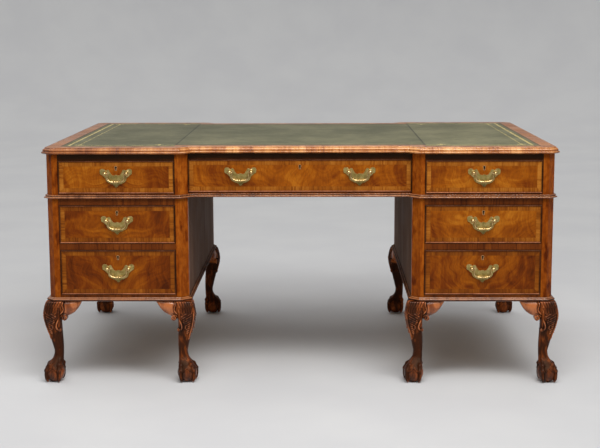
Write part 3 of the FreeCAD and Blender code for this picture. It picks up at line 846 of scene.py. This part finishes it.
def tube(spine, radii, side, turns):
    """Round skin along a line of points that bends only square to a side direction."""
    tangent = np.gradient(spine, axis=0)
    tangent /= np.linalg.norm(tangent, axis=1)[:, None]
    normal = np.cross(side, tangent)[:, None]
    rings = np.cos(turns)[:, None] * normal + np.sin(turns)[:, None] * side
    return skin((spine[:, None] + radii[:, None, None] * rings)[:, ::-1])


def joined(skins):
    """One list of points and faces from several skins."""
    points, faces = [], []
    for some_points, some_faces in skins:
        shift = sum(len(part) for part in points)
        points.append(some_points)
        faces += [tuple(index + shift for index in face) for face in some_faces]
    return np.concatenate(points), faces


def mesh_of(name, points, faces):
    """Smoothly shaded mesh."""
    mesh = bpy.data.meshes.new(name)
    mesh.from_pydata([tuple(point) for point in points], [], faces)
    mesh.shade_smooth()
    return mesh


def put_in(name, data):
    """A new object in the scene."""
    thing = bpy.data.objects.new(name, data)
    bpy.context.scene.collection.objects.link(thing)
    return thing


def place_piece(name, mesh, finish, body, replaced):
    """A new piece that stands for CAD nodes and rides on a body."""
    piece = put_in(name, mesh)
    piece.data.materials.clear()
    piece.data.materials.append(finish)
    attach(piece, body)
    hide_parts(replaced)
    return piece


# Carved leg, in millimetres, for a corner whose faces are x = 0 and y = 0 and that points to +x, +y

MM = 0.001
knee_height = leg_top / MM
around_turns = ring_turns(72)

# Height, centre and half width of the shaft, and how square it is
shaft_rows = [
    (42, -9.0, 22.8, 2.3), (58, -11.8, 24.6, 2.3), (66, -14.8, 22.6, 2.3), (76, -18.6, 18.8, 2.3),
    (88, -21.6, 16.2, 2.4), (102, -22.8, 15.4, 2.6), (121, -21.3, 17.4, 2.8), (160, -15.9, 21.6, 3.2),
    (200, -9.8, 26.4, 3.6), (232, -8.1, 29.4, 3.8), (261, -13.9, 30.0, 3.9), (281, -20.1, 28.6, 4.2),
]

# Distance along the ear from the corner, its drop below the base, its front and its back
ear_rows = [
    (12, 58, 17.5, -26), (24, 60, 16.5, -26), (34, 61, 15.0, -25), (44, 61, 13.6, -24),
    (50, 59, 12.8, -23), (56, 54, 12.0, -22), (61, 50.5, 11.4, -21), (69, 46.8, 10.4, -20),
    (78, 41.8, 9.2, -20), (86, 35.5, 8.0, -19), (92, 28.5, 7.0, -18), (98, 20, 6.0, -17),
    (103, 11.5, 5.0, -16), (106, 6.0, 4.4, -16), (108, 2.5, 4.0, -15),
]

# Height of a toe's middle, its distance from the middle of the foot, its radius, and where that middle is
toe_rows = [
    (3.5, 28.5, 3.4, -9), (9, 32, 4.8, -9), (18, 34.4, 5.8, -9), (28, 35.2, 6.2, -9),
    (35, 34.8, 6.4, -9), (41, 33.8, 8.4, -9), (47, 32.2, 7.0, -10), (52, 30.2, 7.2, -11.4),
    (57, 27.4, 9.2, -13), (63, 22.6, 7.0, -15), (69, 17.6, 6.8, -17), (75, 13.8, 7.8, -19),
    (82, 10.8, 5.8, -21), (90, 9.0, 4.4, -22), (100, 7.4, 3.2, -22.7),
]
toe_angles = (45, 123, 225, 327)
ball_middle = np.array([-9.0, -9.0, 31.0])
ball_radius = 32.6
web_rise = 3.0
web_low = 4.0
web_arch = 15.0
web_beside_toe = (8, 40)
foot_reach = 26.8
ear_overrun = 2

# Curls at the ends of the scroll: distance along from the corner, drop, radius, back and front
scroll_curls = ((49.5, 56.5, 9.0, -18, 14.8), (33.5, 97, 5.6, -14, 15.5))

# Rounding of a curl: distance behind its front, and share of its radius there
curl_round = ((4, 1.0), (1.6, 0.94), (0.5, 0.72), (0, 0.40))

# Lines of the carving on each face: distance along from the corner, and drop
scroll_line = [
    (52, 47.0), (46, 46.6), (40.5, 48.6), (36, 52.6), (33, 58), (30, 63.5), (26.5, 69), (23.5, 75.5),
    (22, 83), (22.4, 90), (25.5, 96),
]
leaf_edge_line = [(46, 1), (43.5, 7), (43.5, 14), (46, 21), (47.5, 27), (45.5, 33), (41, 38), (37, 43)]

# Heights and depths of the carving, and where its forms start and end under the base
tongue_pitch = 8.6
tongue_round = 0.42
upper_tongues = (2.0, 23.0)
lower_tongues = (15.0, 42.0)
upper_tongue_height = 2.3
lower_tongue_height = 1.6
tongue_groove = 1.0
fan_reach = 57
leaf_rows = [(-5, 56), (30, 50), (60, 42), (86, 29), (112, 15), (126, 7), (137, 0.1)]
leaf_top, leaf_tip = leaf_rows[0][0], leaf_rows[-1][0]
leaf_start = (34, 42)
rib_slant = 0.55
lobe_start = 38
lobe_pitch = 25
vein_pitch = 8.33
vein_height = 0.65
vein_start = (6, 12)
midrib_height = 2.0
midrib_width = 3.0
midrib_groove = 1.9
midrib_groove_out = 7.0
midrib_groove_width = 2.6
eye_places = ((31, 61), (20, 86), (9, 113))
eye_width = 3.2
eye_depth = 3.0
leaf_edge_height = 2.8
leaf_edge_width = 2.2
leaf_edge_groove = 1.8
leaf_edge_groove_out = 4.4
leaf_edge_groove_end = 40
scroll_height = 3.0
scroll_width = 2.3
scroll_groove_depth = 1.5
scroll_groove_in = 4.8
scroll_groove_width = 2.0
scoop_depth = 2.6
scoop_near = (1.5, 5.0)
scoop_far = 18
scoop_start = (62, 68)
scoop_end = 96
curl_groove = 2.2
curl_winding = 0.62

# How far a corner of the mesh lies below or above its neighbours where a hollow or ridge starts and is full
hollow_limits = (0.02, 0.12)
ridge_limits = (0.03, 0.16)
# Share of the bare ball in the proud value, for its painted highlight
bare_ball_highlight = 0.35


def superellipse(square):
    """Unit ring, round at 2 and squarer above."""
    power = 2 / square
    c, s = np.cos(around_turns), np.sin(around_turns)
    return np.sign(c) * np.abs(c) ** power, np.sign(s) * np.abs(s) ** power


def shaft():
    """Cabriole shaft from inside the foot to the base."""
    heights = np.linspace(shaft_rows[0][0], knee_height, 90)
    centre, half, square = flow(shaft_rows, heights).T[:, :, None]
    u, v = superellipse(square)
    return ringed(centre + half * u, centre + half * v, heights[:, None])


def ear():
    """Bracket on the +x face, running towards -y from the knee, rounded over from its foot to its top."""
    alongs = np.linspace(ear_rows[0][0], ear_rows[-1][0], 90)
    drop, front, back = flow(ear_rows, alongs).T[:, :, None]
    half_height = (drop + ear_overrun) / 2
    u, v = superellipse(2.0)
    x = (front + back) / 2 + (front - back) / 2 * u
    z = np.minimum(knee_height + ear_overrun - half_height + half_height * v, knee_height)
    return ringed(x, -alongs[:, None], z)


def curl(along, drop, radius, back, front):
    """Rounded end of a scroll, standing out from the +x face."""
    rows = [(back, 1.0)] + [(front - behind, share) for behind, share in curl_round]
    x, share = np.array(rows).T[:, :, None]
    y = -along + radius * share * np.cos(around_turns)
    z = knee_height - drop + radius * share * np.sin(around_turns)
    return ringed(x, y, z)


def swapped(part):
    """The same skin across the diagonal, for the other face."""
    points, faces = part
    return points[:, [1, 0, 2]], [tuple(reversed(face)) for face in faces]


def round_shell(radius, lowest):
    """Part of a ball about the foot's middle, down to a tilt from its top at each turn round it."""
    x, y, z = ball_middle
    tilt = lowest * np.linspace(1, 0.03, 44)[:, None]
    across = np.sin(tilt) * np.cos(around_turns)
    along = np.sin(tilt) * np.sin(around_turns)
    return ringed(x + radius * across, y + radius * along, z + radius * np.cos(tilt))


def ball():
    """Ball held by the claws."""
    return round_shell(ball_radius, np.full_like(around_turns, math.pi - 0.05))


def web():
    """Skin over the top of the ball, arched between the toes and drawn down beside them."""
    turns_off = around_turns[:, None] - np.radians(toe_angles)
    from_toe = np.degrees(np.arccos(np.cos(turns_off))).min(axis=1)
    edge_height = web_low + web_arch * ease(from_toe, *web_beside_toe)
    return round_shell(ball_radius + web_rise, np.arccos(edge_height / (ball_radius + web_rise)))


def toe(angle):
    """Claw bent over the ball: tendon, two knuckles and a talon."""
    heights = np.linspace(toe_rows[0][0], toe_rows[-1][0], 100)
    rows = flow(toe_rows, heights)
    outward = np.array([math.cos(angle), math.sin(angle), 0])
    side = np.array([-math.sin(angle), math.cos(angle), 0])
    spine = np.stack([rows[:, 2], rows[:, 2], heights], axis=1) + rows[:, :1] * outward
    return tube(spine, rows[:, 1], side, around_turns)


def beside(line, along, drop):
    """Signed distance of points from a line of the carving, positive towards the ear."""
    best = np.full(len(along), np.inf)
    for (start_along, start_drop), (end_along, end_drop) in zip(line, line[1:]):
        run_along = end_along - start_along
        run_drop = end_drop - start_drop
        length = math.hypot(run_along, run_drop)
        share = ((along - start_along) * run_along + (drop - start_drop) * run_drop) / length ** 2
        share = np.clip(share, 0, 1)
        off_along = along - start_along - share * run_along
        off_drop = drop - start_drop - share * run_drop
        distance = np.hypot(off_along, off_drop)
        side = np.sign(off_along * run_drop - off_drop * run_along)
        best = np.where(distance < np.abs(best), distance * side, best)
    return best


def bump(values, width):
    """Rounded ridge, 1 where the values are 0."""
    return np.exp(-(values / width) ** 2)


def tongues(aside, drop, shift, first, last):
    """Row of small tongues side by side, with rounded ends, and the grooves between them."""
    across = np.abs((aside / tongue_pitch + shift) % 1.0 - 0.5) * 2
    end = last - (last - first) * tongue_round * across ** 2
    within = ease(drop, first - 2, first + 2) * ease(end - drop, 0, 2.2)
    tongue = within * np.sqrt(np.clip(1 - 0.85 * across ** 2, 0, 1))
    return tongue, within * ease(across, 0.62, 1.0)


def carve(points):
    """Height of the carving over the plain leg, in millimetres."""
    x, y, z = points.T

    # How far points lie beside the corner line, under the base, and along a face towards the ear
    aside = np.abs(x - y)
    drop = knee_height - z
    along = -np.minimum(x, y)

    # Two rows of tongues under the base
    upper, upper_groove = tongues(aside, drop, 0.0, *upper_tongues)
    lower, lower_groove = tongues(aside, drop, 0.5, *lower_tongues)
    proud = np.maximum(upper * upper_tongue_height, lower * lower_tongue_height)
    sunk = np.maximum(upper_groove, lower_groove) * tongue_groove
    fan = ease(fan_reach - aside, 0, 5) * (proud - sunk)

    # Long leaf down the knee: midrib, side veins, and lobes with eyes between them
    half = flow(leaf_rows, np.clip(drop, leaf_top, leaf_tip))[:, 0]
    rib = drop - rib_slant * aside
    lobe = np.abs(np.sin(math.pi * (rib - lobe_start) / lobe_pitch)) ** 0.6
    reach = half * (0.72 + 0.28 * lobe)
    inside = ease(reach - aside, 0, 3.2) * ease(drop, *leaf_start) * ease(leaf_tip - drop, 0, 10)
    leaf = inside * (0.9 + 1.9 * lobe * ease(aside / np.maximum(half, 1), 0.1, 0.9))
    veins = inside * ease(aside, *vein_start) * vein_height * np.cos(2 * math.pi * rib / vein_pitch)
    beside_rib = midrib_groove * bump(aside - midrib_groove_out, midrib_groove_width)
    midrib = inside * (midrib_height * bump(aside, midrib_width) - beside_rib)
    eyes = 0
    for eye_aside, eye_drop in eye_places:
        eyes = eyes + bump(np.hypot(aside - eye_aside, (drop - eye_drop) * 0.8), eye_width)

    # Raised edge of the leaf on the ear, and the long scroll from its curl down to the tail curl
    beyond_edge = beside(leaf_edge_line, along, drop)
    edge = bump(beyond_edge, leaf_edge_width) * leaf_edge_height
    edge_groove = bump(beyond_edge - leaf_edge_groove_out, leaf_edge_width) * leaf_edge_groove
    edge_groove = edge_groove * ease(leaf_edge_groove_end - drop, 0, 6)
    off_scroll = beside(scroll_line, along, drop)
    scroll = bump(off_scroll, scroll_width) * scroll_height
    scroll_groove = bump(off_scroll + scroll_groove_in, scroll_groove_width) * scroll_groove_depth
    past_scroll = ease(off_scroll, *scoop_near) * ease(scoop_far - np.abs(off_scroll), 0, 4)
    scoop = past_scroll * ease(drop, *scoop_start) * ease(scoop_end - drop, 0, 6) * scoop_depth

    # Curls at both ends of the scroll, each with its eye
    curls = 0
    for middle_along, middle_drop, radius, _, _ in scroll_curls:
        off_along = along - middle_along
        off_drop = drop - middle_drop
        distance = np.hypot(off_along, off_drop)
        turn = np.arctan2(off_drop, off_along)
        winding = np.cos(2 * math.pi * distance / (radius * curl_winding) - turn)
        on_curl = ease(radius + 0.6 - distance, 0, 2.0)
        curls = curls - on_curl * curl_groove * np.clip(winding, 0, 1) ** 1.5
    body = np.maximum(fan, leaf + veins + midrib)
    return body - eyes * eye_depth + edge - edge_groove + scroll - scroll_groove - scoop + curls


def fused_leg():
    """Mesh of the whole leg before it is carved, its parts grown into one."""
    toes = [toe(math.radians(angle)) for angle in toe_angles]
    face_parts = [ear()] + [curl(*row) for row in scroll_curls]
    both_faces = face_parts + [swapped(part) for part in face_parts]
    points, faces = joined([shaft(), ball(), web()] + both_faces + toes)
    rough = put_in("rough_leg", mesh_of("rough_leg", points, faces))
    fuse = rough.modifiers.new("fuse", "REMESH")
    fuse.mode = "VOXEL"
    fuse.voxel_size = 1.25
    rub_and_highlight = rough.modifiers.new("rub_smooth", "SMOOTH")
    rub_and_highlight.factor = 0.5
    rub_and_highlight.iterations = 3
    scene_state = bpy.context.evaluated_depsgraph_get()
    fused = bpy.data.meshes.new_from_object(rough.evaluated_get(scene_state))
    bpy.data.objects.remove(rough)
    return fused


def corner_values(mesh, name, width):
    """A value of each of a mesh's corners, as an array."""
    values = np.zeros(len(mesh.vertices) * width)
    mesh.vertices.foreach_get(name, values)
    return values.reshape(-1, width)


def carved_leg():
    """Carved mesh of the leg, in metres, and how hollow and how proud each of its corners is, 0 to 1, with
    the smooth ears and bare ball counted as proud so that they take a painted highlight.
    """
    mesh = fused_leg()
    points = corner_values(mesh, "co", 3)
    normals = corner_values(mesh, "normal", 3)
    outward = ease(normals[:, :2].sum(axis=1), 0.05, 0.6) * ease(knee_height - points[:, 2], -1, 1)
    points = points + normals * (carve(points) * outward)[:, None]
    points[:, :2] = np.minimum(points[:, :2], foot_reach)
    points[:, 2] = np.clip(points[:, 2], 0, knee_height)
    mesh.vertices.foreach_set("co", points.ravel())
    mesh.update()

    normals = corner_values(mesh, "normal", 3)
    ends = np.zeros(len(mesh.edges) * 2, int)
    mesh.edges.foreach_get("vertices", ends)
    first, second = ends.reshape(-1, 2).T
    count = np.bincount(ends, minlength=len(points))

    def neighbours(values):
        total = np.zeros_like(values)
        np.add.at(total, first, values[second])
        np.add.at(total, second, values[first])
        return total / count.reshape((-1,) + (1,) * (values.ndim - 1))

    bowl = ((neighbours(points) - points) * normals).sum(axis=1)
    for _ in range(3):
        bowl = 0.5 * bowl + 0.5 * neighbours(bowl)
    hollow = ease(bowl, *hollow_limits)
    drop = knee_height - points[:, 2]
    # The smooth ears and the bare ball join the ridges, to be painted paler as a painted highlight
    smooth_ear = ease(-points[:, :2].min(axis=1), 46, 54) * ease(62 - drop, 0, 6)
    off_ball = np.linalg.norm(points - ball_middle, axis=1) - ball_radius
    bare_ball = ease(1.0 - off_ball, 0, 0.8) * (1 - hollow)
    ridge = np.maximum(np.maximum(ease(-bowl, *ridge_limits), smooth_ear), bare_ball * bare_ball_highlight)
    faces = [tuple(polygon.vertices) for polygon in mesh.polygons]
    return points * MM, faces, hollow, ridge


def build_legs():
    """Eight legs from one carving, turned to the four corners of each pedestal."""
    points, faces, hollow, ridge = carved_leg()
    for depth_name, along, polish in (("front", -1, 1.0), ("back", 1, 0.1)):
        wood = carved_walnut("carved_walnut_" + depth_name, polish)
        for across in (-1, 1):
            turned = points * np.array([across, along, 1])
            turned_faces = faces if across * along > 0 else [tuple(reversed(face)) for face in faces]
            mesh = mesh_of("leg_carving", turned, turned_faces)
            for name, values in (("hollow", hollow), ("ridge", ridge)):
                attribute = mesh.attributes.new(name, "FLOAT", "POINT")
                attribute.data.foreach_set("value", values.astype(np.float32))
            for side_name, side in (("left", -1), ("right", 1)):
                outer = side == across
                name = "leg_%s_%s_%s" % (side_name, depth_name, "outer" if outer else "inner")
                plain_legs = "pedestal_%s_legs" % side_name
                leg = place_piece(name, mesh, wood, "carcass", plain_legs)
                leg.location = (side * (outer_x if outer else inner_x), along * half_depth, 0)


# Swan-neck bails, in millimetres from the hinge: step, across, down and radius

bail_rows = [
    (0, 39.4, 0, 2.2), (1, 34.4, 0, 2.2), (2, 30.4, -0.4, 2.0), (3, 27.8, -3.0, 2.0),
    (4, 27.9, -7.6, 2.1), (5, 28.4, -12.4, 2.2), (6, 27.4, -17.6, 2.4), (7, 24.0, -22.6, 2.7),
    (8, 18.4, -26.0, 2.8), (9, 12.0, -27.4, 2.6), (9.6, 7.6, -27.8, 2.4), (10, 5.4, -27.9, 3.0),
    (10.4, 3.4, -28.0, 3.4), (10.7, 1.6, -28.0, 3.0), (11, 0, -28.0, 2.2),
]


def bail_mesh():
    """Bail with a swelling grip and a turned knop at its middle."""
    half = flow(bail_rows, np.linspace(0, bail_rows[-1][0], 111))
    mirror = half[-2::-1] * np.array([-1, 1, 1])
    rows = np.concatenate([half, mirror])
    spine = np.stack([rows[:, 0], np.zeros(len(rows)), rows[:, 1]], axis=1)
    backward = np.array([0.0, 1.0, 0.0])
    points, faces = tube(spine, rows[:, 2], backward, ring_turns(20))
    return mesh_of("bail", points * MM, faces)


def build_bails():
    """A bail in every pair of posts, on its own hinge."""
    mesh = bail_mesh()
    for joint in frame["joints"]:
        if joint["name"].startswith("swing_"):
            handle = joint["name"][len("swing_"):]
            name = "swan_neck_" + handle
            bail = place_piece(name, mesh, bail_brass, joint["child"], "bail_" + handle)
            bail.location = Vector(joint["pos_m"])


build_legs()
build_bails()


# Studio

sun_softness = math.radians(60)
surround_strength = 0.30


def hang_lamp(name, kind, power, place, target, **settings):
    """Soft white lamp that faces a target from a place."""
    lamp = bpy.data.lights.new(name, kind)
    lamp.energy = power
    for setting, value in settings.items():
        setattr(lamp, setting, value)
    holder = put_in(name, lamp)
    holder.location = place
    holder.rotation_euler = (Vector(target) - Vector(place)).to_track_quat("-Z", "Y").to_euler()


def sun_light(name, azimuth, elevation, strength):
    """Soft light from a direction, as even over the floor as over the desk.

    Azimuth 0 is in front, and 90 on the right.
    """
    turn = math.radians(azimuth)
    rise = math.radians(elevation)
    source = (math.sin(turn) * math.cos(rise), -math.cos(turn) * math.cos(rise), math.sin(rise))
    hang_lamp(name, "SUN", strength, source, (0, 0, 0), angle=sun_softness)


def backdrop():
    """Pale floor that curves up into a wall all round."""
    floor_radius = 8.0
    curve_radius = 4.0
    wall_height = 5.0
    outline = [(0.4, 0.0), (3.0, 0.0), (floor_radius, 0.0)]
    for angle in np.linspace(0.1, math.pi / 2, 16):
        height = curve_radius * (1 - math.cos(angle))
        outline.append((floor_radius + curve_radius * math.sin(angle), height))
    outline.append((floor_radius + curve_radius, wall_height))
    turns = ring_turns(96)
    radius, height = np.array(outline).T[:, :, None]
    points, faces = ringed(radius * np.cos(turns), radius * np.sin(turns), height, closed=False)
    mesh = mesh_of("backdrop", points, [tuple(reversed(face)) for face in faces])
    sheet = put_in("backdrop", mesh)
    material, place, (x, y, z) = begin("backdrop_paint")
    shade = cloud(x * 2.0, y * 2.0, z, detail=3.0)
    lay(material, shade.tint(*backdrop_stops), shade * 0.05 + 0.8, shade, depth=0.0, gloss=clear)
    mesh.materials.append(material)


def studio():
    """Even dim surroundings and soft lamps."""
    world = bpy.data.worlds.new("studio")
    world.use_nodes = True
    background = world.node_tree.nodes["Background"]
    background.inputs["Color"].default_value = clear
    background.inputs["Strength"].default_value = surround_strength
    bpy.context.scene.world = world
    hang_lamp("key_lamp", "AREA", 18, (0.35, -1.75, 2.45), (0, -0.45, 0.5),
              shape="RECTANGLE", size=2.6, size_y=0.9, spread=math.radians(100))
    sun_light("front_light", azimuth=18, elevation=62, strength=1.3)
    sun_light("back_light", azimuth=-150, elevation=55, strength=0.7)


def set_camera():
    """Camera where the photograph was taken from."""
    pan = Matrix.Rotation(math.radians(-camera_pan), 4, "Z")
    tilt = Matrix.Rotation(math.radians(90 - camera_tilt), 4, "X")
    roll = Matrix.Rotation(math.radians(camera_roll), 4, "Z")
    lens = bpy.data.cameras.new("camera")
    lens.lens = camera_lens
    lens.sensor_width = 36.0
    lens.clip_end = 100.0
    camera = put_in("camera", lens)
    camera.matrix_world = Matrix.Translation(camera_place) @ pan @ tilt @ roll
    bpy.context.scene.camera = camera


backdrop()
studio()
set_camera()
bpy.context.scene.view_settings.view_transform = "Standard"
